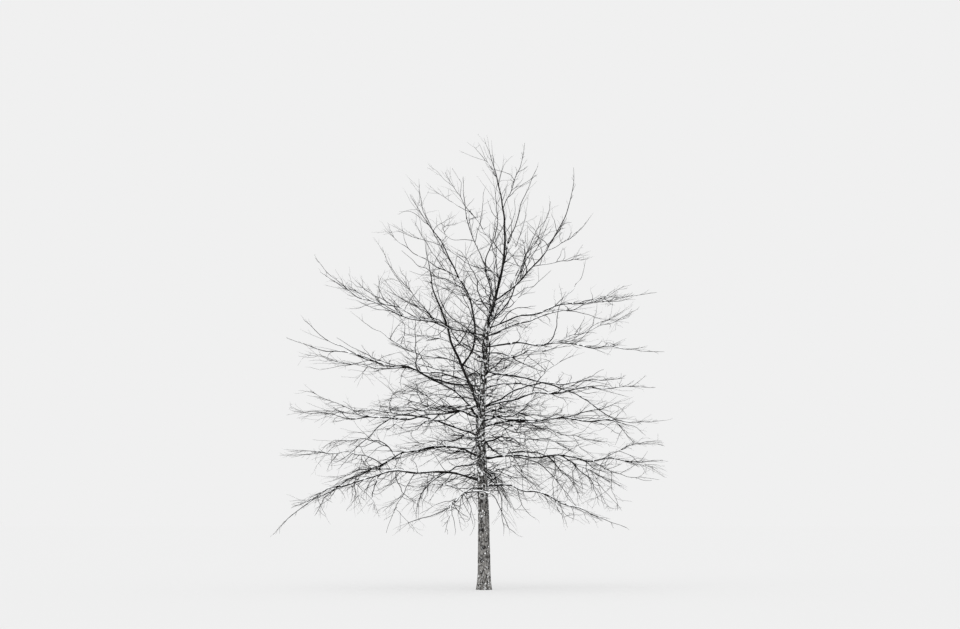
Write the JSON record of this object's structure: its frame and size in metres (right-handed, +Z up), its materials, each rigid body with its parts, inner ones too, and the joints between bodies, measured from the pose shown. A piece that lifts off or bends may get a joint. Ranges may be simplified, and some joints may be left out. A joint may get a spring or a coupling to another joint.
{
  "type": "bare winter tree",
  "caption": "Young leafless park oak in winter: a flared, slightly leaning trunk forking near the top, level and drooping lower boughs, an upswept crown, and light snow on its bark.",
  "frame": {"origin": "the middle of the flat cut under the trunk, at ground level", "axes": "+Z up along the trunk; +X to the right across the crown's broad side and -X to the left, as seen from the front; +Y to the back"},
  "size_m": [7.8132, 7.1462, 9.0514],
  "materials": {
    "bark_trunk": "rough grey bark of a young oak, finely furrowed, dull, with specks of blown snow",
    "bark_bough": "smoother dark grey bark, damp and dull",
    "twig": "thin dark grey shoots, slightly satin",
    "snow": "light wind-blown snow, dull white"
  },
  "bodies": {
    "root": {"trunk": "bark_trunk", "leader": "bark_bough", "fork_leader": "bark_bough", "stem_left": "bark_bough", "stem_top_right": "bark_bough", "bough_top_outer": "bark_bough", "bough_left_low": "bark_bough", "hanger_left": "bark_bough", "bough_left_arch": "bark_bough", "fork_left_arch_high": "bark_bough", "fork_left_arch_level": "bark_bough", "bough_left_level": "bark_bough", "bough_left_rise": "bark_bough", "bough_left_sweep": "bark_bough", "fork_left_rise_high": "bark_bough", "fork_left_rise_far": "bark_bough", "bough_left_twin": "bark_bough", "bough_left_upper": "bark_bough", "bough_left_upper_twin": "bark_bough", "fork_left_upper": "bark_bough", "bough_crossing": "bark_bough", "fork_crossing_front": "bark_bough", "fork_crossing_back": "bark_bough", "fork_crossing_high": "bark_bough", "bough_right_low": "bark_bough", "bough_right_short": "bark_bough", "bough_right_plate": "bark_bough", "fork_right_plate_high": "bark_bough", "fork_right_plate_low": "bark_bough", "fork_right_plate_spray": "bark_bough", "bough_right_mid": "bark_bough", "fork_right_mid_bend": "bark_bough", "fork_right_mid_low": "bark_bough", "bough_right_high": "bark_bough", "fork_right_high_near": "bark_bough", "fork_right_high_far": "bark_bough", "bough_right_upper": "bark_bough", "fork_right_upper": "bark_bough", "bough_right_top": "bark_bough", "fork_right_top": "bark_bough", "bough_right_slant": "bark_bough", "bough_right_tip": "bark_bough", "fork_top_left_high": "bark_bough", "fork_top_left_low": "bark_bough", "fork_outer_level": "bark_bough", "fork_outer_slant": "bark_bough", "fork_outer_inner": "bark_bough", "fork_outer_front": "bark_bough", "bough_front_low": "bark_bough", "bough_front_plate": "bark_bough", "bough_front_mid": "bark_bough", "bough_front_high": "bark_bough", "bough_front_upper": "bark_bough", "bough_front_top": "bark_bough", "bough_back_low": "bark_bough", "bough_back_plate": "bark_bough", "bough_back_mid": "bark_bough", "bough_back_high": "bark_bough", "bough_back_upper": "bark_bough", "bough_back_top": "bark_bough"}
  },
  "joints": []
}
